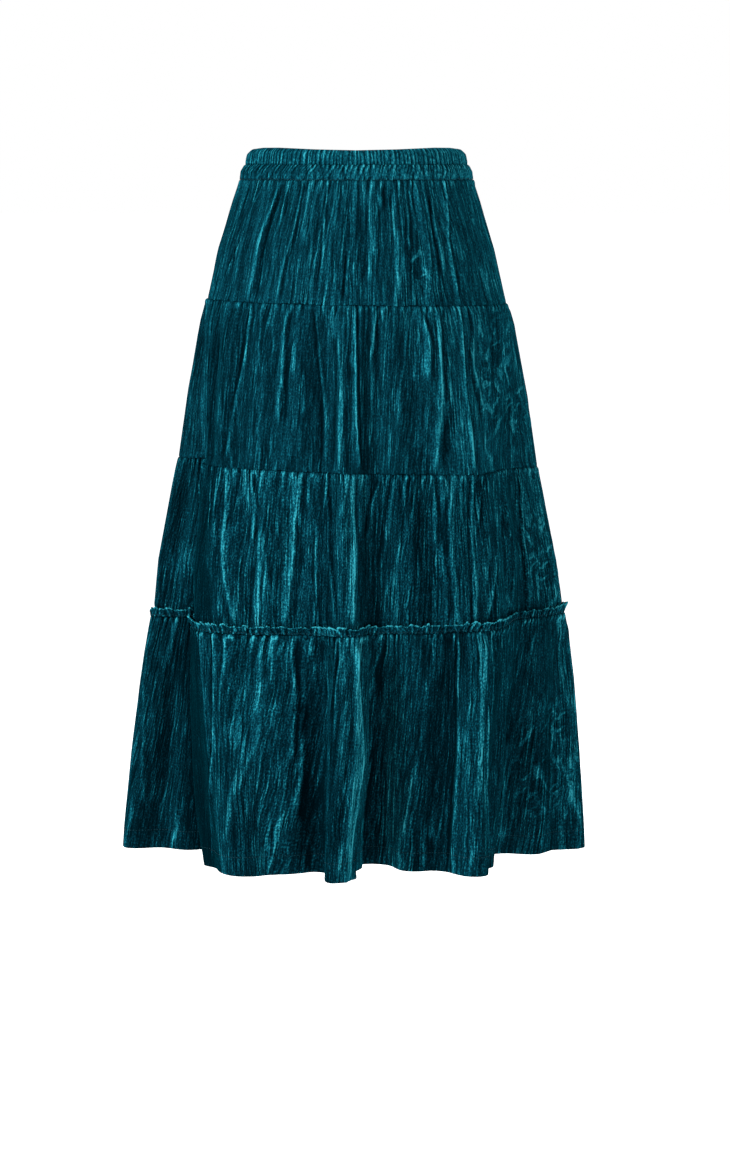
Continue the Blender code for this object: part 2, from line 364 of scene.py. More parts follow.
def sew_mesh(name, outer, outward, wall, along, down, masks, face, closed, inner_every):
    """A thin wall of cloth: its velvet side as laid, and a plainer side a wall inside it.

    along and down are the cloth's own measures in metres, kept as its UV map. masks are kept
    as attributes: the pile mask holds how the pile lies, with painted highlights and painted
    shade added in, and crushed is where the cloth was pressed across its folds. face is the
    velvet of the outer side.
    """
    rows, columns = outer.shape[:2]
    picks = sorted(set(range(0, rows, inner_every)) | {rows - 1})
    # Between its few rows the inner side runs straight, so it lies deep enough to stay behind.
    slack = np.zeros((len(picks), columns))
    for n, (upper, lower) in enumerate(zip(picks, picks[1:])):
        fallen = down[upper:lower + 1]
        share = ((fallen - fallen[0]) / (fallen[-1] - fallen[0]))[..., None]
        straight = outer[upper] * (1.0 - share) + outer[lower] * share
        inside = (straight - outer[upper:lower + 1])[..., :2] * outward[upper:lower + 1]
        bulge = inside.sum(axis=-1).max(axis=0)
        slack[n:n + 2] = np.maximum(slack[n:n + 2], bulge)
    inner = outer[picks].copy()
    inner[..., :2] -= outward[picks] * (wall + slack)[..., None]
    points = np.concatenate([outer.reshape(-1, 3), inner.reshape(-1, 3)])
    measure = np.stack(np.broadcast_arrays(along, down), axis=-1)
    measures = np.concatenate([measure.reshape(-1, 2), measure[picks].reshape(-1, 2)])
    first_inner = rows * columns
    here = np.arange(columns if closed else columns - 1)
    there = (here + 1) % columns

    def band(upper, lower, flipped):
        quad = np.stack([upper + here, upper + there, lower + there, lower + here], axis=-1)
        return quad[:, ::-1] if flipped else quad

    quads = [band(row * columns, (row + 1) * columns, False) for row in range(rows - 1)]
    outer_quads = len(quads) * len(here)
    quads += [
        band(first_inner + row * columns, first_inner + (row + 1) * columns, True)
        for row in range(len(picks) - 1)
    ]
    inner_end = len(quads) * len(here)
    quads.append(band(0, first_inner, True))
    quads.append(band((rows - 1) * columns, first_inner + (len(picks) - 1) * columns, False))
    quads = np.concatenate(quads)
    loops = [quads.ravel()]
    sizes = [np.full(len(quads), 4)]
    if not closed:
        for side, turn in ((0, 1), (columns - 1, -1)):
            for n, (upper, lower) in enumerate(zip(picks, picks[1:])):
                edge = [row * columns + side for row in range(upper, lower + 1)]
                edge += [first_inner + (n + 1) * columns + side, first_inner + n * columns + side]
                loops.append(np.array(edge[::turn]))
                sizes.append(np.array([len(edge)]))
    loops = np.concatenate(loops)
    sizes = np.concatenate(sizes)
    mesh = bpy.data.meshes.new(name)
    mesh.vertices.add(len(points))
    mesh.vertices.foreach_set("co", points.ravel())
    mesh.loops.add(len(loops))
    mesh.loops.foreach_set("vertex_index", loops.astype(np.int32))
    mesh.polygons.add(len(sizes))
    mesh.polygons.foreach_set(
        "loop_start", np.concatenate([[0], np.cumsum(sizes)[:-1]]).astype(np.int32))
    sides = np.zeros(len(sizes), dtype=np.int32)
    sides[outer_quads:inner_end] = 1
    mesh.polygons.foreach_set("material_index", sides)
    mesh.update(calc_edges=True)
    corner = measures[loops]
    if closed:
        girth = float(measure[0, -1, 0] + (measure[0, 1, 0] - measure[0, 0, 0]))
        column = quads % columns
        closing = (column == 0) & (column.max(axis=1, keepdims=True) == columns - 1)
        corner[closing.ravel(), 0] += girth
    layer = mesh.uv_layers.new(name="cloth")
    layer.data.foreach_set("uv", corner.ravel())
    for mask, values in masks.items():
        values = np.concatenate([values.ravel(), values[picks].ravel()])
        attribute = mesh.attributes.new(mask, "FLOAT", "POINT")
        attribute.data.foreach_set("value", values.astype(np.float32))
    mesh.shade_smooth()
    mesh.validate()
    mesh.materials.append(face)
    mesh.materials.append(plain_back)
    piece = bpy.data.objects.new(name, mesh)
    bpy.context.scene.collection.objects.link(piece)
    return piece


def add_node(tree, kind, links=(), **settings):
    """A node with its settings; links are pairs of an input and what goes into it."""
    node = tree.nodes.new(kind)
    for name, value in settings.items():
        setattr(node, name, value)
    for place, source in links:
        if isinstance(source, bpy.types.NodeSocket):
            tree.links.new(source, node.inputs[place])
        else:
            node.inputs[place].default_value = source
    return node


def add_math(tree, operation, *sources):
    return add_node(tree, "ShaderNodeMath", enumerate(sources), operation=operation).outputs[0]


# The velvet's crush, shared by every piece: fine streaks down the cloth where the pile lies
# one way and then the other, long thin creases, the grain of its tufts, and short slanting
# strokes where it is crushed. The pile input brings the painted highlights and painted shade
# of the pile mask into the lit value.
crush = bpy.data.node_groups.new("crushed_pile", "ShaderNodeTree")
for socket in ("Pile and Painted Light", "Crushed", "Streak Width", "Streak Length", "Streaks", "Creases"):
    crush.interface.new_socket(name=socket, in_out="INPUT", socket_type="NodeSocketFloat")
for socket in ("Lit", "Height"):
    crush.interface.new_socket(name=socket, in_out="OUTPUT", socket_type="NodeSocketFloat")
crush_in = add_node(crush, "NodeGroupInput").outputs
cloth_map = add_node(crush, "ShaderNodeUVMap", uv_map="cloth").outputs[0]
cloth_axes = add_node(crush, "ShaderNodeSeparateXYZ", [(0, cloth_map)]).outputs


def crush_math(operation, *sources):
    return add_math(crush, operation, *sources)


def times(*sources):
    return crush_math("MULTIPLY", *sources)


def plus(*sources):
    return crush_math("ADD", *sources)


def minus(*sources):
    return crush_math("SUBTRACT", *sources)


def scaled(source, factor, offset):
    return crush_math("MULTIPLY_ADD", source, factor, offset)


def clamped(source):
    return add_node(crush, "ShaderNodeClamp", [(0, source)]).outputs[0]


def stretched_noise(across, down, across_scale, down_scale, layer, detail):
    """Noise on the cloth, centred on 0, with its own scale across and down."""
    place = add_node(crush, "ShaderNodeCombineXYZ", [
        (0, times(across, across_scale)),
        (1, times(down, down_scale)),
        (2, layer),
    ])
    noise = add_node(crush, "ShaderNodeTexNoise", [
        ("Vector", place.outputs[0]), ("Scale", 1.0), ("Detail", detail), ("Roughness", 0.6)])
    return minus(noise.outputs["Fac"], 0.5)


def narrow_line(value, place, sharpness):
    """1 where a value passes a place, falling straight to 0 on both sides."""
    away = crush_math("ABSOLUTE", minus(value, place))
    return crush_math("MAXIMUM", scaled(away, -sharpness, 1.0), 0.0)


CRUSH_NOISES = {
    # scale across, scale down (both per metre), the layer it is read in, detail
    "drift": (34.0, 13.0, 0.5, 1.0),
    "wiggle": (230.0, 90.0, 2.5, 1.0),
    "grain": (820.0, 420.0, 17.9, 1.0),
    "folds": (210.0, 9.0, 23.1, 1.5),
    "patches": (70.0, 22.0, 29.3, 1.0),
    "bends": (110.0, 110.0, 31.7, 1.0),
}
STROKES = (
    # slant in radians, the layer its noise is read in, the least value that shows
    (0.62, 37.1, 0.095),
    (-0.95, 41.3, 0.120),
)
across, fallen = cloth_axes[0], cloth_axes[1]
per_width = crush_math("DIVIDE", 1.0, crush_in["Streak Width"])
per_length = crush_math("DIVIDE", 1.0, crush_in["Streak Length"])
drift = times(stretched_noise(across, fallen, *CRUSH_NOISES["drift"]), 0.006)
wiggle = times(stretched_noise(across, fallen, *CRUSH_NOISES["wiggle"]), 0.0018)
swayed = plus(across, plus(drift, wiggle))
fine = stretched_noise(swayed, fallen, per_width, per_length, 7.7, 2.0)
hair = stretched_noise(
    swayed, fallen, times(per_width, 1.7), times(per_length, 2.6), 11.3, 1.0)
grain = stretched_noise(across, fallen, *CRUSH_NOISES["grain"])
streaky = plus(times(fine, 1.05), plus(times(hair, 1.20), times(grain, 1.5)))
streaky = times(streaky, crush_in["Streaks"])
# Creases run where a long noise passes a value, with their hollow at the value next to it:
# in the colour the crease is a painted highlight and its hollow painted shade, in the bump a
# ridge and a dent.
fold_noise = stretched_noise(swayed, fallen, *CRUSH_NOISES["folds"])
patchy = stretched_noise(across, fallen, *CRUSH_NOISES["patches"])
comes_and_goes = clamped(scaled(patchy, 3.5, 0.55))
crease = minus(narrow_line(fold_noise, 0.02, 17.0),
               times(narrow_line(fold_noise, -0.07, 13.0), 0.6))
crease = times(times(crease, comes_and_goes), crush_in["Creases"])
# Strokes lie in two directions, a little bent.
bend = times(stretched_noise(across, fallen, *CRUSH_NOISES["bends"]), 0.010)
bent = plus(fallen, bend)
strokes = None
for slant, layer, least in STROKES:
    lengthways = plus(times(across, math.cos(slant)), times(bent, math.sin(slant)))
    sideways = minus(times(bent, math.cos(slant)), times(across, math.sin(slant)))
    stroke = stretched_noise(sideways, lengthways, 150.0, 44.0, layer, 0.5)
    stroke = clamped(times(minus(stroke, least), 12.0))
    strokes = crush_math("MAXIMUM", strokes, stroke) if strokes else stroke
strokes = times(strokes, crush_in["Crushed"])
crinkle = plus(streaky, crease)
relief = plus(crinkle, times(strokes, 0.8))
# Where the pile mask is painted in shade the streaks' hollows are calm, but their tufts still
# show bright.
hollows = times(crush_math("MINIMUM", crinkle, 0.0), scaled(crush_in["Pile and Painted Light"], 0.75, 0.45))
tufts = times(crush_math("MAXIMUM", crinkle, 0.0), scaled(crush_in["Pile and Painted Light"], 0.22, 0.92))
lit = plus(crush_in["Pile and Painted Light"], plus(hollows, tufts))
lit = scaled(crush_in["Crushed"], -0.05, lit)
lit = scaled(strokes, 0.36, lit)
crush_out = add_node(crush, "NodeGroupOutput")
crush.links.new(lit, crush_out.inputs["Lit"])
crush.links.new(relief, crush_out.inputs["Height"])

# From the darkest painted hollow to the brightest tuft, as places on the scale of the pile
# and its painted light, and colours.
VELVET_TONES = (
    (0.02, (0.0000, 0.0054, 0.0086, 1.0)),
    (0.24, (0.0006, 0.0148, 0.0232, 1.0)),
    (0.42, (0.0014, 0.0310, 0.0475, 1.0)),
    (0.62, (0.0028, 0.0720, 0.1040, 1.0)),
    (0.82, (0.0085, 0.1620, 0.2120, 1.0)),
    (1.00, (0.0300, 0.3000, 0.3700, 1.0)),
)


def velvet(name, streak_width, streak_length, streaks_strength, creases_strength, relief):
    """The face of the velvet: dark to bright teal by the pile's lay and its painted light and
    shade.
    """
    material = bpy.data.materials.new(name)
    material.use_nodes = True
    tree = material.node_tree
    surface = tree.nodes["Principled BSDF"]
    pile_and_painted_light = add_node(tree, "ShaderNodeAttribute", attribute_name="pile_and_painted_light")
    pressed = add_node(tree, "ShaderNodeAttribute", attribute_name="crushed")
    face = add_node(tree, "ShaderNodeGroup", node_tree=crush)
    tree.links.new(pile_and_painted_light.outputs["Fac"], face.inputs["Pile and Painted Light"])
    tree.links.new(pressed.outputs["Fac"], face.inputs["Crushed"])
    face.inputs["Streak Width"].default_value = streak_width
    face.inputs["Streak Length"].default_value = streak_length
    face.inputs["Streaks"].default_value = streaks_strength
    face.inputs["Creases"].default_value = creases_strength
    ramp = add_node(tree, "ShaderNodeValToRGB", [(0, face.outputs["Lit"])])
    stops = ramp.color_ramp.elements
    stops[0].position, stops[0].color = VELVET_TONES[0]
    stops[1].position, stops[1].color = VELVET_TONES[-1]
    for place, colour in VELVET_TONES[1:-1]:
        stops.new(place).color = colour
    tree.links.new(ramp.outputs[0], surface.inputs["Base Color"])
    dullness = add_node(tree, "ShaderNodeMapRange", [
        (0, face.outputs["Lit"]), (3, 0.9), (4, 0.6)])
    tree.links.new(dullness.outputs[0], surface.inputs["Roughness"])
    relief_bump = add_node(tree, "ShaderNodeBump", [
        ("Height", face.outputs["Height"]), ("Strength", 1.0), ("Distance", relief)])
    tree.links.new(relief_bump.outputs[0], surface.inputs["Normal"])
    surface.inputs["Specular IOR Level"].default_value = 0.0
    surface.inputs["Sheen Weight"].default_value = 0.12
    surface.inputs["Sheen Roughness"].default_value = 0.30
    surface.inputs["Sheen Tint"].default_value = (0.0, 0.40, 0.56, 1.0)
    return material


def velvet_back(name, colour):
    """The wrong side of the velvet: a plain close knit without pile."""
    material = bpy.data.materials.new(name)
    material.use_nodes = True
    tree = material.node_tree
    surface = tree.nodes["Principled BSDF"]
    cloth = add_node(tree, "ShaderNodeUVMap", uv_map="cloth").outputs[0]
    axes = add_node(tree, "ShaderNodeSeparateXYZ", [(0, cloth)]).outputs
    wales = add_math(tree, "SINE", add_math(tree, "MULTIPLY", axes[0], 4200.0))
    courses = add_math(tree, "SINE", add_math(tree, "MULTIPLY", axes[1], 3300.0))
    knit = add_math(tree, "MULTIPLY", wales, courses)
    mottle = add_node(tree, "ShaderNodeTexNoise", [
        ("Vector", cloth), ("Scale", 60.0), ("Detail", 4.0)])
    darker = tuple(0.6 * channel for channel in colour[:3]) + (1.0,)
    shade = add_node(tree, "ShaderNodeMix", [
        (0, mottle.outputs["Fac"]), (6, darker), (7, colour)], data_type="RGBA")
    tree.links.new(shade.outputs[2], surface.inputs["Base Color"])
    bump = add_node(tree, "ShaderNodeBump", [
        ("Height", knit), ("Strength", 0.5), ("Distance", 0.0002)])
    tree.links.new(bump.outputs[0], surface.inputs["Normal"])
    surface.inputs["Roughness"].default_value = 0.85
    return material


band_velvet = velvet("waistband_velvet_face", 0.0018, 0.010, 0.60, 0.0, 0.0006)
plain_back = velvet_back("velvet_wrong_side", (0.002, 0.035, 0.045, 1.0))

BAND_COLUMNS = 1100
BAND_BLUR = 4                    # columns over which the form's corners are rounded
BAND_PITCH = 0.0046
RIB_HEIGHT = 0.0014
BAND_PROFILE = np.array((
    # below its top edge, inset
    (0.0000, 0.0018), (0.0002, 0.0008), (0.0008, 0.0002), (0.0020, 0.0000), (0.0042, 0.0000),
    (0.0068, -0.0002), (0.0094, -0.0002), (0.0118, -0.0002), (0.0137, -0.0001),
    (0.0149, 0.0001), (0.0158, 0.0006),
))
band_heights = BAND_PROFILE[:, 0]
level, outward, along, girth = whole_ring(band_heights, BAND_COLUMNS, BAND_BLUR)
down = band_heights[:, None]
lean = along + 0.0010 * streaks(along, down, 0.02, 0.02, 5)
rib, part = pleats(lean % girth, girth, BAND_PITCH, 11)
random = np.random.default_rng(12)
rib_height = each(random, 0.5, 1.0, rib)
held = 0.35 + 0.65 * ease(down / 0.0030) * ease((WAISTBAND_FOOT - down) / 0.0030)
raised = RIB_HEIGHT * held * rib_height * (crest_of(part) - 0.7)
level = level + outward * (raised - BAND_PROFILE[:, 1:2])[..., None]
band_points = place_rows(level, band_heights)
# The top edge dips a little at the middle, more at the back, and at the side seams.
TOP_EDGE = np.array((
    # aside of the middle, rise in front, rise at the back
    (0.000, -0.0002, -0.0020), (0.045, 0.0008, -0.0006), (0.085, 0.0026, 0.0022),
    (0.100, 0.0025, 0.0022), (0.112, 0.0010, 0.0009), (0.120, -0.0008, -0.0008),
))
front_rise, back_rise = read_rows(TOP_EDGE, np.abs(level[..., 0]))
rise = np.where(level[..., 1] < 0, front_rise, back_rise)
band_points[..., 2] += rise * ease(1.0 - down / 0.012)
# Painted light: each rib's side is painted lit and its valleys painted in shade, and the casing's
# foot, where the channel laps over it, is painted darker.
edge_lit = bell(part - 0.40, 0.13) * each(random, 0.2, 1.0, rib)
valley = valley_of(part, 0.13)
band_pile_and_painted_light = 0.46 + 0.42 * edge_lit - 0.34 * valley + 0.08 * streaks(along, down, 0.003, 0.005, 14)
band_pile_and_painted_light = band_pile_and_painted_light - 0.16 * ease((down - WAISTBAND_FOOT + 0.0012) / 0.0012)
# In front the side away from the light is painted a little brighter, and the side near it
# darker.
band_pile_and_painted_light = band_pile_and_painted_light + ease(0.5 - level[..., 1] / 0.06) * (0.04 + 1.1 * level[..., 0])
waistband = sew_mesh("waistband_cloth", band_points, outward, BAND_WALL, along, down,
                     {"pile_and_painted_light": band_pile_and_painted_light}, band_velvet, True, 3)
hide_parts("waistband")
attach(waistband, "root")

# ---------------------------------------------------------------------------
# The elastic channel. A second casing right under the waistband, with a softer elastic in it,
# so that it puffs out further and puckers unevenly. A row of stitches closes it at its foot.
# ---------------------------------------------------------------------------
CHANNEL_PITCH = 0.0100
PUCKER_HEIGHT = 0.0017
TUFT_PITCH = 0.0047
TUFT_HEIGHT = 0.0010
CHANNEL_PROFILE = np.array((
    # below the waistband, inset
    (-0.0002, 0.0014), (0.0005, 0.0002), (0.0014, -0.0004), (0.0028, -0.0006),
    (0.0048, -0.0006), (0.0070, -0.0006), (0.0092, -0.0005), (0.0112, -0.0003),
    (0.0130, -0.0002), (0.0144, 0.0000), (0.0157, 0.0005), (0.0167, 0.0012),
))
channel_heights = WAISTBAND_FOOT + CHANNEL_PROFILE[:, 0]
level, outward, along, girth = whole_ring(channel_heights, BAND_COLUMNS, BAND_BLUR)
down = CHANNEL_PROFILE[:, :1]
lean = along + 0.0048 * streaks(along, down, 0.016, 0.014, 23)
pucker, part = pleats(lean % girth, girth, CHANNEL_PITCH, 29)
random = np.random.default_rng(30)
pucker_height = each(random, 0.3, 1.0, pucker)
side = random.choice((-1.0, 1.0), pucker.max() + 1)[pucker]
# Small slanting tufts stand right under the waistband, each with a gap beside it, and each
# painted lit on one side with painted shade in its gap.
slanted = along + 0.0016 * streaks(along, down, 0.012, 0.008, 31) - 0.45 * down
tuft, across_tuft = pleats(slanted % girth, girth, TUFT_PITCH, 33)
tuft_height = each(random, 0.15, 1.0, tuft)
tuft_end = each(random, 0.003, 0.012, tuft)
near_top = ease(1.4 - down / tuft_end)
stands_out = tuft_height * (np.sin(np.pi * across_tuft) ** 0.7 - 0.6)
tuft_lit = tuft_height * bell(across_tuft - 0.42, 0.16) - 0.55 * valley_of(across_tuft, 0.16)
raised = PUCKER_HEIGHT * pucker_height * (crest_of(part) - 0.6)
raised = raised + TUFT_HEIGHT * stands_out * (0.3 + 0.7 * near_top)
level = level + outward * (raised - CHANNEL_PROFILE[:, 1:2])[..., None]
# Painted light: each pucker's lit side, the tufts and the crests near the foot are painted as
# highlights, and the valleys, the foot and the top right under the waistband as shade.
channel_pile_and_painted_light = (0.42 + 0.22 * pucker_height * bell((part - 0.5) * side - 0.14, 0.10)
                - 0.15 * valley_of(part, 0.12)
                + (0.14 + 0.48 * near_top) * tuft_lit
                + 0.12 * bell(down - 0.0125, 0.0020) * bell(part - 0.5, 0.22)
                - 0.06 * ease((down - 0.0150) / 0.0012) - 0.12 * ease((0.0006 - down) / 0.0010))
# In front the side away from the light is painted a little brighter, and the side near it darker.
channel_pile_and_painted_light = channel_pile_and_painted_light + ease(0.5 - level[..., 1] / 0.06) * (0.03 + 1.3 * level[..., 0])
channel_points = place_rows(level, channel_heights)
# The gathers under it push its foot up and down a little.
nudged = streaks(along, down, 0.0046, 1.0, 35) * ease(np.minimum(along, girth - along) / 0.006)
channel_points[..., 2] += 0.0011 * nudged * ease((down - 0.0100) / 0.0045)
channel = sew_mesh("elastic_channel_cloth", channel_points, outward, BAND_WALL, along, down,
                   {"pile_and_painted_light": channel_pile_and_painted_light}, band_velvet, True, 3)
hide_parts("elastic_channel")
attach(channel, "root")

# Stitches: a thread laid along a line of the cloth, as even short lengths that dip into it.
STITCH_PITCH = 0.0034
STITCH_LENGTH = 0.0026
STITCH_THICKNESS = 0.0005
STITCH_UNEVEN = 0.12
STITCH_LIFT = 0.0002
sewing = bpy.data.node_groups.new("stitches_along_a_line", "GeometryNodeTree")
sewing.interface.new_socket(name="Line", in_out="INPUT", socket_type="NodeSocketGeometry")
sewing_inputs = {}
for socket in ("Pitch", "Length", "Thickness", "Uneven"):
    sewing_inputs[socket] = sewing.interface.new_socket(
        name=socket, in_out="INPUT", socket_type="NodeSocketFloat").identifier
sewing_inputs["Thread"] = sewing.interface.new_socket(
    name="Thread", in_out="INPUT", socket_type="NodeSocketMaterial").identifier
sewing.interface.new_socket(name="Stitches", in_out="OUTPUT", socket_type="NodeSocketGeometry")
given = add_node(sewing, "NodeGroupInput").outputs
line = add_node(sewing, "GeometryNodeMeshToCurve", [(0, given["Line"])])
steps = add_node(sewing, "GeometryNodeCurveToPoints", [
    ("Curve", line.outputs[0]), ("Length", given["Pitch"])], mode="LENGTH")
bead = add_node(sewing, "GeometryNodeMeshUVSphere", [
    ("Segments", 5), ("Rings", 3), ("Radius", 0.5)])
uneven = add_node(sewing, "FunctionNodeRandomValue", [
    (2, add_math(sewing, "SUBTRACT", 1.0, given["Uneven"])),
    (3, add_math(sewing, "ADD", 1.0, given["Uneven"])), ("Seed", 7)], data_type="FLOAT")
long = add_math(sewing, "MULTIPLY", given["Length"], uneven.outputs[1])
shape = add_node(sewing, "ShaderNodeCombineXYZ", [
    (0, given["Thickness"]), (1, given["Thickness"]), (2, long)])
laid = add_node(sewing, "GeometryNodeInstanceOnPoints", [
    ("Points", steps.outputs["Points"]), ("Instance", bead.outputs["Mesh"]),
    ("Rotation", steps.outputs["Rotation"]), ("Scale", shape.outputs[0])])
real = add_node(sewing, "GeometryNodeRealizeInstances", [(0, laid.outputs[0])])
coloured = add_node(sewing, "GeometryNodeSetMaterial", [
    ("Geometry", real.outputs[0]), ("Material", given["Thread"])])
add_node(sewing, "NodeGroupOutput", [(0, coloured.outputs[0])])

thread = bpy.data.materials.new("teal_thread")
thread.use_nodes = True
thread_surface = thread.node_tree.nodes["Principled BSDF"]
thread_surface.inputs["Base Color"].default_value = (0.001, 0.035, 0.050, 1.0)
thread_surface.inputs["Roughness"].default_value = 0.6
thread_surface.inputs["Specular IOR Level"].default_value = 0.2


def sew_stitches(name, row, outward, closed):
    """Stitches just proud of a row of the cloth's points, as one plain mesh."""
    line_points = row + np.pad(outward, ((0, 0), (0, 1))) * STITCH_LIFT
    count = len(line_points)
    edges = [(n, (n + 1) % count) for n in range(count if closed else count - 1)]
    guide_mesh = bpy.data.meshes.new(name + "_line")
    guide_mesh.from_pydata(line_points.tolist(), edges, [])
    guide = bpy.data.objects.new(name + "_line", guide_mesh)
    bpy.context.scene.collection.objects.link(guide)
    modifier = guide.modifiers.new("stitches", "NODES")
    modifier.node_group = sewing
    modifier[sewing_inputs["Pitch"]] = STITCH_PITCH
    modifier[sewing_inputs["Length"]] = STITCH_LENGTH
    modifier[sewing_inputs["Thickness"]] = STITCH_THICKNESS
    modifier[sewing_inputs["Uneven"]] = STITCH_UNEVEN
    modifier[sewing_inputs["Thread"]] = thread
    ready = guide.evaluated_get(bpy.context.evaluated_depsgraph_get())
    mesh = bpy.data.meshes.new_from_object(ready)
    guide.modifiers.remove(modifier)
    bpy.data.objects.remove(guide)
    bpy.data.meshes.remove(guide_mesh)
    mesh.name = name
    mesh.shade_smooth()
    stitches = bpy.data.objects.new(name, mesh)
    bpy.context.scene.collection.objects.link(stitches)
    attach(stitches, "root")
    return stitches


channel_stitches = sew_stitches("channel_stitches", channel_points[-2], outward[-2], True)

# ---------------------------------------------------------------------------
# The four tiers. Each is a strip of crushed velvet, a front and a back, gathered onto the one
# above, so that it puckers finely under its seam, and the puckers run together into soft
# folds further down. The main creases were placed after the photograph.
# ---------------------------------------------------------------------------
TIERS = (
    # broad: how many gathers a half has, and their depth at the top, the belly and the foot
    # pucker: pitch, depth and how far down they reach; soft: pitch and depth of the folds
    # tone and contrast: how bright the ground is painted, darker on each tier down, and how much
    # the creases stand out from it
    # pleated: how bright a pucker's painted lit side is; arches: how clearly it starts as a small
    # arch with painted highlights
    dict(name="tier_1", top=CHANNEL_FOOT, foot=SEAM_1, columns=400, row_step=0.0024,
         broad=(16, 0.0012, 0.0023, 0.0018), pucker=(0.0105, 0.0024, 0.110),
         soft=(0.016, 0.0014), stand_off=0.0,
         painted_tone=0.320, contrast=0.58, pleated=0.27, arches=0.2),
    dict(name="tier_2", top=SEAM_1, foot=SEAM_2, columns=500, row_step=0.0026,
         broad=(15, 0.0016, 0.0050, 0.0034), pucker=(0.0090, 0.0028, 0.036),
         soft=(0.021, 0.0026), stand_off=0.0,
         painted_tone=0.275, contrast=0.56, pleated=0.34, arches=0.5),
    dict(name="tier_3", top=SEAM_2, foot=STITCH_LINE, columns=600, row_step=0.0027,
         broad=(16, 0.0016, 0.0056, 0.0030), pucker=(0.0092, 0.0030, 0.036),
         soft=(0.023, 0.0030), stand_off=0.0,
         painted_tone=0.255, contrast=0.66, pleated=0.34, arches=0.6),
    dict(name="tier_4", top=STITCH_LINE, foot=HEM, columns=760, row_step=0.0030,
         broad=(14, 0.0016, 0.0066, 0.0100), pucker=(0.0098, 0.0034, 0.044),
         soft=(0.030, 0.0040), stand_off=0.0022,
         painted_tone=0.230, contrast=0.76, pleated=0.34, arches=0.8),
)
CREASE_SCALES = (1000, 1000, 1000, 1000, 1000, 10000, 10000, 100, 1)
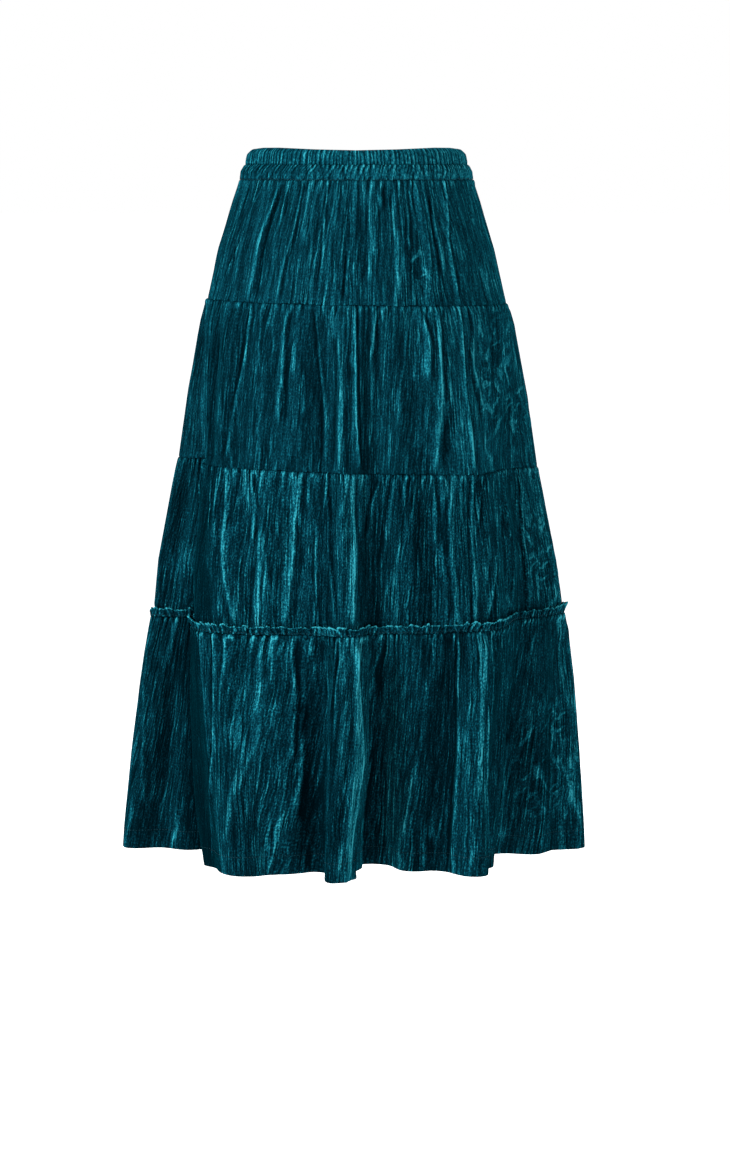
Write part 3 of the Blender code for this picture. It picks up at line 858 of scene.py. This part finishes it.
CREASES = {
    # mm below the tier's top: start, end; thousandths of the panel's width there: start,
    # middle, end; tenths of a mm: half width, how far it stands out; hundredths: how much it
    # is painted lit; hollow, painted in shade (1 left of it, -1 right, 0 none)
    "tier_1_front": (
        (0, 128, 731, 755, 766, 30, 20, 46, -1), (0, 48, 703, 699, 706, 22, 16, 36, -1),
        (0, 128, 652, 668, 687, 14, 14, 40, -1), (0, 115, 583, 581, 586, 13, 12, 38, 1),
        (20, 128, 516, 515, 525, 13, 12, 32, 1), (0, 110, 458, 466, 470, 18, 16, 44, 1),
        (0, 34, 429, 435, 441, 28, 16, 34, -1), (0, 80, 393, 401, 400, 26, 14, 30, 0),
        (25, 78, 361, 366, 367, 14, 14, 42, 1), (0, 22, 328, 326, 324, 14, 12, 38, 0),
        (16, 100, 284, 287, 280, 20, 18, 50, 1), (0, 122, 225, 253, 256, 14, 14, 38, -1),
        (52, 100, 224, 220, 212, 16, 12, 34, 0), (104, 128, 494, 491, 487, 18, 10, 38, 0),
        (103, 128, 356, 352, 348, 22, 12, 36, 0), (0, 110, 792, 828, 863, 14, 12, 28, 1),
    ),
    "tier_2_front": (
        (1, 168, 695, 710, 741, 20, 18, 40, 1), (4, 66, 672, 670, 671, 14, 12, 36, 0),
        (3, 128, 620, 630, 633, 24, 22, 48, -1), (36, 76, 606, 609, 611, 16, 12, 36, 1),
        (4, 166, 575, 556, 550, 14, 16, 38, 1), (1, 32, 541, 540, 539, 18, 14, 34, 0),
        (34, 176, 526, 519, 521, 36, 22, 46, 1), (2, 174, 489, 492, 481, 19, 24, 52, -1),
        (10, 140, 828, 844, 809, 27, 20, 32, -1), (17, 76, 647, 646, 650, 14, 10, 30, 0),
        (108, 144, 666, 669, 671, 16, 10, 32, 0), (12, 152, 451, 455, 458, 14, 12, 26, 0),
        (2, 58, 438, 448, 454, 16, 14, 38, -1), (62, 100, 446, 449, 453, 22, 12, 28, 0),
        (26, 128, 381, 397, 411, 15, 12, 32, 0), (6, 80, 348, 340, 345, 28, 20, 44, -1),
        (2, 176, 311, 321, 339, 34, 24, 48, -1), (1, 176, 263, 269, 263, 16, 18, 46, -1),
        (53, 112, 297, 302, 301, 22, 14, 34, 0), (2, 122, 230, 244, 219, 25, 20, 44, 1),
        (3, 38, 214, 210, 208, 17, 14, 38, 0), (7, 84, 144, 114, 94, 16, 14, 36, 0),
        (4, 50, 98, 85, 56, 16, 14, 34, 0), (128, 165, 221, 220, 206, 28, 14, 36, 0),
    ),
    "tier_3_front": (
        (4, 160, 765, 800, 941, 18, 16, 34, 1), (8, 66, 719, 711, 719, 14, 14, 32, -1),
        (4, 92, 700, 698, 694, 15, 14, 34, 0), (2, 158, 680, 682, 672, 26, 22, 44, 1),
        (6, 40, 652, 651, 649, 16, 12, 36, 0), (2, 78, 642, 639, 640, 16, 16, 42, -1),
        (60, 162, 628, 631, 636, 34, 22, 46, 1), (64, 132, 624, 620, 621, 16, 10, 34, 0),
        (3, 158, 579, 581, 594, 30, 24, 52, -1), (2, 128, 552, 549, 551, 14, 12, 30, 0),
        (11, 154, 540, 528, 517, 14, 16, 36, -1), (0, 46, 497, 499, 503, 18, 14, 38, 0),
        (1, 162, 485, 481, 484, 46, 24, 34, -1), (3, 70, 424, 437, 446, 18, 16, 38, 1),
        (2, 100, 404, 411, 424, 20, 16, 40, 1), (1, 68, 391, 384, 385, 20, 16, 36, 1),
        (116, 162, 416, 418, 420, 14, 12, 32, 0), (1, 86, 336, 335, 335, 28, 18, 34, -1),
        (18, 160, 310, 316, 310, 22, 16, 36, 1), (2, 160, 270, 277, 280, 18, 18, 46, 1),
        (4, 64, 249, 258, 270, 14, 12, 36, -1), (2, 26, 239, 236, 233, 20, 14, 42, 0),
        (4, 160, 209, 229, 258, 25, 20, 46, -1), (8, 164, 83, 88, 89, 15, 20, 30, 1),
        (128, 162, 168, 147, 126, 34, 14, 26, 0), (128, 164, 34, 31, 49, 40, 16, 40, 0),
    ),
    "tier_4_front": (
        (0, 252, 698, 724, 775, 26, 20, 42, 1), (0, 92, 690, 695, 709, 20, 16, 40, 0),
        (3, 45, 954, 951, 948, 18, 14, 36, 0), (3, 46, 720, 714, 710, 16, 14, 34, 0),
        (0, 228, 660, 673, 724, 40, 26, 30, 0), (108, 204, 682, 697, 715, 24, 14, 34, 0),
        (1, 140, 636, 637, 640, 17, 18, 42, -1), (80, 206, 631, 634, 641, 28, 18, 38, -1),
        (10, 58, 623, 624, 621, 16, 14, 36, 0), (1, 98, 549, 552, 554, 16, 20, 42, 1),
        (190, 260, 652, 663, 674, 25, 16, 38, 0), (210, 260, 935, 934, 941, 22, 14, 32, 0),
        (70, 212, 989, 981, 975, 30, 16, 30, 0), (12, 230, 529, 523, 535, 46, 22, 26, 1),
        (6, 260, 528, 504, 520, 50, 24, 30, -1), (6, 76, 404, 412, 417, 25, 18, 40, -1),
        (6, 256, 303, 301, 305, 26, 24, 46, 1), (4, 186, 265, 271, 276, 42, 20, 28, 0),
        (78, 248, 264, 258, 255, 18, 18, 40, -1), (134, 252, 130, 125, 121, 48, 22, 38, 1),
        (12, 46, 99, 103, 107, 18, 14, 38, 0), (12, 126, 4, 12, 10, 30, 14, 36, 0),
        (162, 222, 39, 28, 16, 50, 16, 38, 0), (142, 254, 350, 359, 369, 66, 18, 24, 0),
        (48, 86, 345, 344, 344, 26, 14, 28, 0), (20, 200, 470, 465, 462, 22, 16, 16, 0),
    ),
    "tier_1_back": (
        (0, 128, 205, 190, 172, 26, 20, 42, -1), (0, 90, 288, 281, 276, 16, 14, 38, 1),
        (10, 128, 372, 376, 370, 14, 14, 36, -1), (0, 60, 446, 441, 438, 24, 14, 32, 0),
        (0, 120, 517, 522, 531, 18, 18, 44, 1), (40, 128, 602, 608, 612, 28, 16, 34, -1),
        (0, 104, 688, 699, 714, 16, 16, 42, 1), (0, 128, 788, 806, 822, 20, 14, 34, -1),
    ),
    "tier_2_back": (
        (2, 170, 152, 141, 118, 22, 20, 38, 1), (3, 110, 238, 246, 243, 26, 20, 42, -1),
        (6, 176, 327, 318, 320, 15, 16, 40, -1), (30, 150, 405, 398, 394, 34, 22, 40, 1),
        (2, 80, 468, 472, 470, 16, 14, 38, 0), (2, 176, 540, 533, 545, 30, 24, 46, -1),
        (10, 128, 624, 630, 641, 16, 16, 38, 1), (4, 176, 716, 708, 722, 24, 20, 42, -1),
        (20, 140, 842, 851, 866, 18, 14, 34, 0),
    ),
    "tier_3_back": (
        (3, 160, 108, 92, 81, 20, 18, 34, 1), (2, 120, 194, 199, 192, 28, 20, 42, -1),
        (4, 168, 286, 280, 268, 16, 18, 42, 1), (2, 74, 348, 352, 349, 18, 14, 36, 0),
        (10, 164, 431, 422, 428, 38, 24, 44, -1), (2, 166, 512, 519, 516, 18, 18, 42, 1),
        (40, 150, 597, 601, 612, 30, 18, 36, 0), (2, 168, 689, 694, 688, 22, 22, 44, -1),
        (4, 110, 778, 790, 797, 16, 16, 36, 1), (20, 160, 902, 911, 914, 26, 16, 32, 0),
    ),
    "tier_4_back": (
        (4, 240, 62, 55, 48, 30, 18, 34, 0), (2, 200, 148, 139, 120, 22, 20, 40, 1),
        (30, 256, 221, 229, 236, 44, 24, 42, -1), (1, 120, 297, 290, 286, 18, 18, 40, 0),
        (90, 258, 358, 349, 332, 56, 20, 34, 0), (1, 252, 436, 441, 447, 26, 22, 44, 1),
        (12, 180, 508, 503, 495, 36, 22, 40, -1), (2, 258, 586, 594, 611, 20, 20, 42, 1),
        (60, 240, 663, 671, 668, 48, 22, 38, 0), (1, 150, 748, 741, 737, 18, 18, 40, -1),
        (20, 256, 835, 846, 862, 32, 20, 38, 1), (80, 230, 936, 930, 928, 26, 16, 32, 0),
    ),
}
CRUSHED_PATCHES = {
    # Where the cloth was pressed across its folds: share of the width, below the tier's top,
    # half its spread across and down.
    "tier_1_front": ((0.350, 0.080, 0.020, 0.036),),
    "tier_2_front": ((0.150, 0.080, 0.060, 0.075), (0.060, 0.120, 0.040, 0.050)),
    "tier_3_front": ((0.050, 0.095, 0.046, 0.060),),
    "tier_4_front": ((0.062, 0.155, 0.062, 0.085), (0.160, 0.240, 0.050, 0.022)),
    "tier_2_back": ((0.790, 0.070, 0.040, 0.050),),
    "tier_4_back": ((0.300, 0.130, 0.050, 0.070),),
}
SHARE_SCALES = (1000, 100)
PAINTED_LIGHT_AND_SHADE_TONES = {
    # Broad places painted lighter where light falls, or darker where shade falls: thousandths of
    # the width, and the tone in hundredths.
    "tier_1_front": (
        (0, 12), (120, 10), (260, 13), (310, 6), (360, 2), (500, 0), (600, 2), (680, -1),
        (740, -8), (800, -5), (1000, 0)),
    "tier_2_front": (
        (0, 14), (90, 14), (150, 2), (180, 0), (210, 20), (250, 20), (300, 10), (330, 12),
        (360, -5), (400, 2), (450, -2), (470, -10), (490, 3), (520, 4), (550, 0), (660, -1),
        (700, -12), (760, -10), (790, -14), (880, -2), (960, 5), (1000, 5)),
    "tier_3_front": (
        (0, 16), (60, 8), (100, 6), (150, 0), (220, -2), (260, -8), (280, 18), (320, 4),
        (360, -9), (400, -6), (430, -8), (455, -10), (468, 24), (485, 30), (500, 0), (530, -6),
        (560, 0), (580, 10), (610, 2), (640, 5), (675, 12), (688, 10), (696, -16), (740, -30),
        (800, -22), (930, -20), (950, -8), (1000, 3)),
    "tier_4_front": (
        (0, 14), (30, 6), (60, 0), (100, -3), (140, -12), (235, -18), (250, -16), (257, 4),
        (265, 22), (273, 12), (281, 6), (290, -4), (302, -5), (310, -12), (330, -6), (360, 1),
        (390, 4), (420, 2), (430, 14), (460, -2), (500, 0), (508, 26), (530, 38), (543, 26),
        (552, -2), (580, -12), (610, -6), (630, 0), (650, 1), (690, 2), (722, 4), (736, 6),
        (744, -42), (780, -48), (860, -34), (910, -30), (925, -22), (940, -9), (960, -4),
        (1000, 0)),
    "tier_1_back": (
        (0, 0), (180, 6), (280, -5), (450, 3), (580, -6), (700, 7), (850, -4), (1000, 4)),
    "tier_2_back": (
        (0, -3), (100, -12), (200, 2), (240, 12), (310, -6), (410, 5), (480, -10), (540, 12),
        (600, -4), (720, 8), (800, -10), (1000, 5)),
    "tier_3_back": (
        (0, -5), (120, -16), (200, 8), (270, -4), (350, 6), (390, -12), (430, 12), (520, -5),
        (600, 6), (650, -12), (700, 12), (820, -12), (1000, 4)),
    "tier_4_back": (
        (0, -2), (130, -20), (200, 10), (260, -4), (310, -18), (360, 14), (440, 0), (490, -20),
        (530, 14), (600, 2), (640, -18), (700, 10), (780, -22), (900, -2), (1000, 3)),
}
LEANS = {
    # The crinkle doesn't fall quite straight: thousandths of the width, and how far it goes
    # towards the other side seam as it falls, in hundredths of its fall.
    "tier_1_front": (
        (0, -4), (200, -7), (280, -2), (380, 7), (500, 4), (600, 10), (700, 3), (1000, 4)),
    "tier_2_front": (
        (0, 0), (300, 0), (400, 13), (490, 2), (580, 2), (680, 9), (800, 7), (1000, 5)),
    "tier_3_front": (
        (0, 0), (260, 0), (330, 6), (390, 12), (470, 0), (550, 0), (660, 9), (720, 12),
        (1000, 12)),
    "tier_4_front": (
        (0, 0), (90, 7), (220, 0), (300, 3), (380, 7), (550, 7), (620, 10), (675, 19), (750, 14),
        (1000, 14)),
    "tier_1_back": (
        (0, -3), (250, 5), (500, -4), (750, -6), (1000, 3)),
    "tier_2_back": (
        (0, -5), (220, -10), (400, 4), (600, -6), (800, 8), (1000, 4)),
    "tier_3_back": (
        (0, -8), (200, 6), (450, -9), (650, -2), (850, -10), (1000, 5)),
    "tier_4_back": (
        (0, -10), (180, -14), (340, 5), (520, -10), (720, 9), (880, -6), (1000, 8)),
}
SPACING_WAVES = ((3, 0.22), (7, 0.20), (11, 0.14))
UNEVEN_DEPTH = 0.35
UNEVEN_STEP = 2.3
BELLY = 0.25
DRIFTS = (
    # how far the gathers sway aside, pitch and length of the sway, number of the draw
    (0.0040, 0.035, 0.080, 0),
    (0.0036, 0.014, 0.026, 14),
)
FINE_CREASES = (
    # pitch, length, thinness, how far they stand out, how much they are painted lit, number of
    # the draw
    (0.0125, 0.160, 0.11, 0.0010, 0.14, 4),
    (0.0064, 0.100, 0.15, 0.0006, 0.14, 7),
    (0.0038, 0.052, 0.20, 0.0005, 0.17, 9),
)
TUCK = np.array((
    # below the tier's top, how far in it goes behind the one above
    (-0.0030, 0.0034), (-0.0010, 0.0030), (0.0000, 0.0009), (0.0008, 0.0001), (0.0030, 0.0000),
))
ROLLED_FOOT = np.array((
    # below the tier's foot, how far its cloth rolls in
    (-0.0030, 0.0000), (-0.0006, 0.0002), (0.0000, 0.0007),
))
BEAD_HEIGHT = 0.0008             # of the small knot where a pucker leaves its seam
CROWDED_DEPTH = 0.0018           # of the hollows right under the frill
PRESSED_HEIGHT = 0.0010          # of the bumps where the cloth is crushed
SIDE_SEAM_DEPTH = 0.0012
UNDER_FRILL_DEPTH = 0.0014       # how far the frill presses the third tier's foot in
PUSHED_SEAM = 0.0009             # how far the next tier's gathers push a seam up and down
PATH_WANDER = 0.0009             # how far a placed crease winds about its path
TIER_BLUR = 3
HEM_TURNING = 0.020              # the hem's stitches stand this far above it

upper_velvet = velvet("upper_tiers_velvet_face", 0.0020, 0.034, 0.61, 0.37, 0.0009)
lower_velvet = velvet("lower_tiers_velvet_face", 0.0020, 0.044, 0.82, 0.40, 0.0009)


def broad_gathers(tier, shares, drops):
    """The wide gathers that the tier's panel has all the way down, as a depth inwards."""
    count, at_top, at_belly, at_foot = tier["broad"]
    even = np.linspace(0.0, 1.0, 2001)
    spaced = even + sum(
        strength * np.sin(math.tau * waves * even) / (math.tau * waves)
        for waves, strength in SPACING_WAVES)
    number = np.interp(shares, spaced, even * count)
    full = np.interp(drops / (tier["foot"] - tier["top"]), (0.0, BELLY, 1.0),
                     (at_top, at_belly, at_foot))
    uneven = 1.0 + UNEVEN_DEPTH * np.sin(UNEVEN_STEP * np.floor(number) + count)
    return full[:, None] * (uneven * 0.5 * (1.0 - np.cos(math.tau * number)))[None, :]


def placed_creases(rows, along, down, width):
    """The creases of a table: how far they stand out, and how much they are painted lit."""
    raised = np.zeros(np.broadcast(along, down).shape)
    lit = np.zeros_like(raised)
    for row in np.array(rows) / CREASE_SCALES:
        start, end, first, middle, last, half_width, height, light, hollow = row
        far = (down - start) / (end - start)
        path = np.interp(far, (0.0, 0.5, 1.0), (first, middle, last)) * width
        path = path + PATH_WANDER * np.sin(far * 9.0 + 40.0 * first)
        there = ease((down - start) / 0.010 + 0.3) * ease((end - down) / 0.018 + 0.2)
        swell = half_width * (0.75 + 0.45 * ease(far))
        aside = along - path
        trough = bell(aside - 2.2 * hollow * swell, 1.1 * swell) if hollow else 0.0
        raised += height * there * (bell(aside, 1.2 * swell) - 0.8 * trough)
        # The painted glow stops short at the hollow, and fades slowly on the other side; the
        # hollow is painted in shade.
        spread = np.where(aside * hollow > 0, 0.55, 1.35) if hollow else 0.9
        glow = 0.62 * bell(aside, spread * swell)
        edge = 0.40 * bell(aside, np.maximum(0.40 * swell, 0.0008))
        lit += there * (light * (glow + edge) - 0.26 * trough)
    return raised, lit


def pressed_places(patches, along, down, width):
    """How far the cloth is crushed, from 0 to 1."""
    pressed = np.zeros(np.broadcast(along, down).shape)
    for share, below, spread, tall in patches:
        away = np.hypot((along - share * width) / spread, (down - below) / tall)
        pressed = np.maximum(pressed, ease(1.6 - 1.4 * away))
    return pressed


def tier_cloth(tier, half, seed):
    """One panel of a tier: its points, its outward way, its measures, masks and width."""
    name = f"{tier['name']}_{half}"
    height = tier["foot"] - tier["top"]
    last = tier["name"] == "tier_4"
    drops = np.concatenate([
        [-0.0030, -0.0010, 0.0, 0.0008, 0.0018, 0.0030, 0.0044],
        np.linspace(0.0060, height - 0.0030, int(height / tier["row_step"])),
        [height - 0.0016, height - 0.0006, height - 0.0001]])
    shares = np.linspace(0.0, 1.0, tier["columns"])
    places, width = column_places(half, tier["foot"], shares)
    heights = tier["top"] + drops
    level, outward, sunk = soft_form(half, places, heights, TIER_BLUR)
    down = drops[:, None]
    along = (shares * width)[None, :]
    to_seam = np.minimum(along, width - along)
    at_top = ease(down / 0.010)
    at_foot = 1.0 if last else 0.25 + 0.75 * ease((height - down) / 0.010)
    (lean,) = read_rows(np.array(LEANS[name]) / SHARE_SCALES, shares)
    laid = along - lean[None, :] * np.maximum(down, 0.0)
    drift = laid
    for far, pitch, length, number in DRIFTS:
        drift = drift + far * streaks(along, down, pitch, length, seed + number)
    drift = np.clip(drift, 0.0, width)
    raised = -broad_gathers(tier, shares, drops) * at_top * at_foot
    (painted_tone,) = read_rows(np.array(PAINTED_LIGHT_AND_SHADE_TONES[name]) / SHARE_SCALES, shares)
    # The ground is painted: darker on each tier down, lighter or darker by the broad painted
    # tones, and darker where the form lies sunk between its folds, as shade falls there.
    ground = tier["painted_tone"] + 0.85 * painted_tone[None, :] - 0.06 * sunk

    # The puckers: rounded where the seam holds them, each with a painted lit side and painted
    # shade in its valleys.
    pitch, depth, reach = tier["pucker"]
    pucker, part = pleats(drift, width, pitch, seed + 1)
    random = np.random.default_rng(seed + 2)
    reaches = reach * each(random, 0.35, 1.6, pucker)
    strength = each(random, 0.20, 1.1, pucker)
    side = random.choice((-1.0, 1.0, 1.0), pucker.max() + 1)[pucker]
    held = strength * np.exp(-(np.maximum(down, 0.0) / reaches) ** 1.4)
    raised = raised + depth * held * (crest_of(part) - 0.6)
    # Right under the seam a pucker starts as a small arch, with painted highlights along its two
    # sides.
    close_by = np.exp(-(np.maximum(down, 0.0) / 0.013) ** 1.5) * tier["arches"]
    arch = bell(np.abs(part - 0.5) - 0.34 * ease(down / 0.008), 0.10) * strength * close_by
    edge = bell((part - 0.5) * side - 0.10, 0.105) * (1.0 - 0.7 * close_by)
    valley = valley_of(part, 0.13)
    pile_and_painted_light = held * (tier["pleated"] * edge - 0.7 * tier["pleated"] * valley) + 0.62 * arch
    # A small knot where the pucker leaves its seam, raised and painted lit.
    bead = bell(down - 0.0032, 0.0030) * strength * bell(part - 0.5, 0.22)
    raised = raised + BEAD_HEIGHT * bead
    pile_and_painted_light = pile_and_painted_light + 0.38 * bead
    if last:
        # The frill's gathers crowd the cloth under it into hollows that soon fade, painted in
        # shade, and the cloth right under the frill is painted darker as well.
        crowded = ease(-1.6 * streaks(drift, down, 0.013, 0.400, seed + 16) - 0.1)
        crowded = crowded * np.exp(-(np.maximum(down, 0.0) / 0.042) ** 1.5)
        raised = raised - CROWDED_DEPTH * crowded
        pile_and_painted_light = pile_and_painted_light - 0.16 * crowded - 0.06 * ease(1.0 - down / 0.024)

    # Soft folds, and creases from coarse to fine.
    pitch, depth = tier["soft"]
    soft = streaks(drift, down, pitch, 0.110, seed + 3)
    grows = ease(down / 0.045) * (0.35 + 0.65 * at_foot)
    raised = raised + depth * grows * soft
    # The side of a fold that looks to the light is painted brighter, and the side turned away
    # painted darker.
    painted_facing_light = -np.gradient(raised, axis=1) / np.gradient(along[0])[None, :]
    pile_and_painted_light = pile_and_painted_light + 0.10 * np.clip(painted_facing_light / 0.35, -1.0, 1.0)
    sway = laid + 0.0016 * streaks(along, down, 0.012, 0.030, seed + 6)
    ways = (drift, sway, sway)
    starts = (ease(down / 0.02), 1.0, 1.0)
    for way, there, (pitch, length, thin, lift, glow, number) in zip(ways, starts, FINE_CREASES):
        stands_out, lit = creases(way, down, width, pitch, length, thin, seed + number)
        raised = raised + lift * stands_out * there
        pile_and_painted_light = pile_and_painted_light + glow * lit * there
    patch = streaks(drift, down, 0.026, 0.100, seed + 11)
    pile_and_painted_light = pile_and_painted_light + 0.08 * ease((patch - 0.1) / 0.6) - 0.06 * ease((-patch - 0.1) / 0.6)
    stands_out, lit = placed_creases(CREASES[name], along, down, width)
    raised = raised + stands_out * at_foot
    pile_and_painted_light = ground + tier["contrast"] * pile_and_painted_light + 0.95 * lit
    pressed = pressed_places(CRUSHED_PATCHES.get(name, ()), along, down, width)
    bumps = streaks(along - down, down, 0.008, 0.006, seed + 12)
    raised = raised + PRESSED_HEIGHT * pressed * bumps

    # The side seam draws the cloth in, and so do the seams above and below.
    raised = raised * ease(to_seam / 0.012) - SIDE_SEAM_DEPTH * bell(to_seam, 0.0016)
    (tuck,) = read_rows(TUCK, drops)
    (rolled,) = read_rows(ROLLED_FOOT, drops - height)
    raised = raised - (tuck + rolled)[:, None] + tier["stand_off"]
    if tier["name"] == "tier_3":
        # The frill presses the tier's foot flat, and laps over it clear of its gathers.
        under_frill = ease((down - height + 0.0125) / 0.0045)
        flattened = 0.6 * under_frill * np.maximum(raised, 0.0)
        raised = raised - UNDER_FRILL_DEPTH * under_frill - flattened
    # The top of the tier, under the seam above, is painted in shade.
    shade = 0.08 if tier["name"] == "tier_1" else 0.20
    pile_and_painted_light = pile_and_painted_light - shade * ease((0.0010 - down) / 0.0012)
    level = level + outward * raised[..., None]
    points = place_rows(level, heights)
    if not last:
        # The gathers of the next tier push its seam up and down a little.
        uneven = streaks(along, down, 0.0050, 1.0, seed + 13)
        points[..., 2] += PUSHED_SEAM * uneven * ease((down - height) / 0.006 + 1.0)
    return points, outward, laid, down, {"pile_and_painted_light": pile_and_painted_light, "crushed": pressed}, width


for number, tier in enumerate(TIERS):
    for side, half in enumerate(HALVES):
        points, outward, laid, down, masks, width = tier_cloth(
            tier, half, 100 * number + 40 * side + 7)
        panel = sew_mesh(f"{tier['name']}_{half}_cloth", points, outward, CLOTH_WALL, laid,
                         down, masks, upper_velvet if number < 2 else lower_velvet, False, 9)
        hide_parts(f"{tier['name']}_{half}")
        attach(panel, "root")
        if tier["name"] == "tier_4":
            row = int(np.abs(down[:, 0] - (HEM - STITCH_LINE - HEM_TURNING)).argmin())
            sew_stitches(f"hem_stitches_{half}", points[row], outward[row], False)

# ---------------------------------------------------------------------------
# The heading frill. The top edge of the fourth tier, left standing above its gathering
# stitches: a small ruffle that laps over the third tier and catches the light on its rim,
# which is painted brighter as well.
# ---------------------------------------------------------------------------
FRILL_COLUMNS = 1000
FRILL_WALL = 0.0012
FRILL_PITCH = 0.0102
CRIMP_PITCH = 0.0049
FRILL_FLARE = 0.0052
LAP = 0.0020
FRILL_CLEAR = 0.0006             # between its inner side and the tier that it laps over
FOLD_HEIGHT = 0.0044             # of its gathers, outward and upward alike
CRIMP_HEIGHT = 0.0022
FLIP_HEIGHT = 0.0014
FRILL_RISES = np.array(
    (0.0092, 0.0090, 0.0085, 0.0076, 0.0066, 0.0055, 0.0044, 0.0033, 0.0021, 0.0010, 0.0003))
frill_velvet = velvet("frill_velvet_face", 0.0018, 0.008, 0.80, 0.10, 0.0006)
for side, half in enumerate(HALVES):
    heights = STITCH_LINE - FRILL_RISES
    shares = np.linspace(0.0, 1.0, FRILL_COLUMNS)
    places, width = column_places(half, STITCH_LINE, shares)
    level, outward, sunk = soft_form(half, places, heights, TIER_BLUR)
    along = (shares * width)[None, :]
    rise = FRILL_RISES[:, None]
    free = rise / FRILL_RISES[0]
    sway = along + 0.0052 * free * streaks(along, rise, 0.011, 0.02, 310 + side)
    fold, part = pleats(np.clip(sway, 0.0, width), width, FRILL_PITCH, 320 + side)
    random = np.random.default_rng(330 + side)
    crest = each(random, 0.15, 1.0, fold) * crest_of(part)
    flip = streaks(along, rise, 0.006, 0.05, 340 + side)
    rim_wave = streaks(along, rise, 0.0045, 0.05, 350 + side)
    bowed = sway + 0.0016 * streaks(along, rise, 0.004, 0.006, 355 + side)
    crimp, across_crimp = pleats(np.clip(bowed, 0.0, width), width, CRIMP_PITCH, 360 + side)
    crimp_height = each(random, 0.1, 1.0, crimp)
    crimp_crest = crimp_height * crest_of(across_crimp)
    crimp_lit = crimp_height * (
        bell(across_crimp - 0.4, 0.14) - 0.6 * valley_of(across_crimp, 0.17))
    to_seam = np.minimum(along, width - along)
    flare = LAP + (FRILL_FLARE - 0.0010 - LAP) * free ** 1.2
    ruffle = (FOLD_HEIGHT * (crest - 0.42) + FLIP_HEIGHT * flip) * free ** 0.8
    ruffle = ruffle + CRIMP_HEIGHT * (crimp_crest - 0.35) * (0.5 + 0.5 * free)
    turned = 0.0006 * np.exp(-(FRILL_RISES[0] - rise) / 0.0004)
    raised = flare + ruffle * ease(to_seam / 0.006) - turned
    raised = np.maximum(raised, FRILL_WALL + FRILL_CLEAR)
    level = level + outward * raised[..., None]
    points = place_rows(level, heights)
    points[..., 2] += free ** 1.5 * (
        FOLD_HEIGHT * (crest - 0.5) + 0.0020 * (crimp_crest - 0.4)
        + 0.0008 * flip + 0.0008 * rim_wave)
    points[..., 2] += 0.0009 * (1.0 - free) * rim_wave
    valley = valley_of(part, 0.18)
    # The frill's pile mask: its rim and crests painted as highlights, its valleys and the crimps'
    # gaps painted in shade, over the fourth tier's broad painted tones.
    (painted_tone,) = read_rows(np.array(PAINTED_LIGHT_AND_SHADE_TONES[f"tier_4_{half}"]) / SHARE_SCALES, shares)
    pile_and_painted_light = (0.24 + 0.5 * painted_tone[None, :] + 0.80 * ease((free - 0.88) / 0.08) * (0.65 + 0.5 * crest)
            + 0.14 * crest * free - 0.14 * valley + 0.56 * crimp_lit + 0.08 * flip)
    frill = sew_mesh(f"heading_frill_{half}_cloth", points, outward, FRILL_WALL, along, rise,
                     {"pile_and_painted_light": pile_and_painted_light}, frill_velvet, False, 3)
    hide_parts(f"heading_frill_{half}")
    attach(frill, "root")
    gathering = sew_stitches(f"gathering_stitches_{half}", points[-3], outward[-3], False)
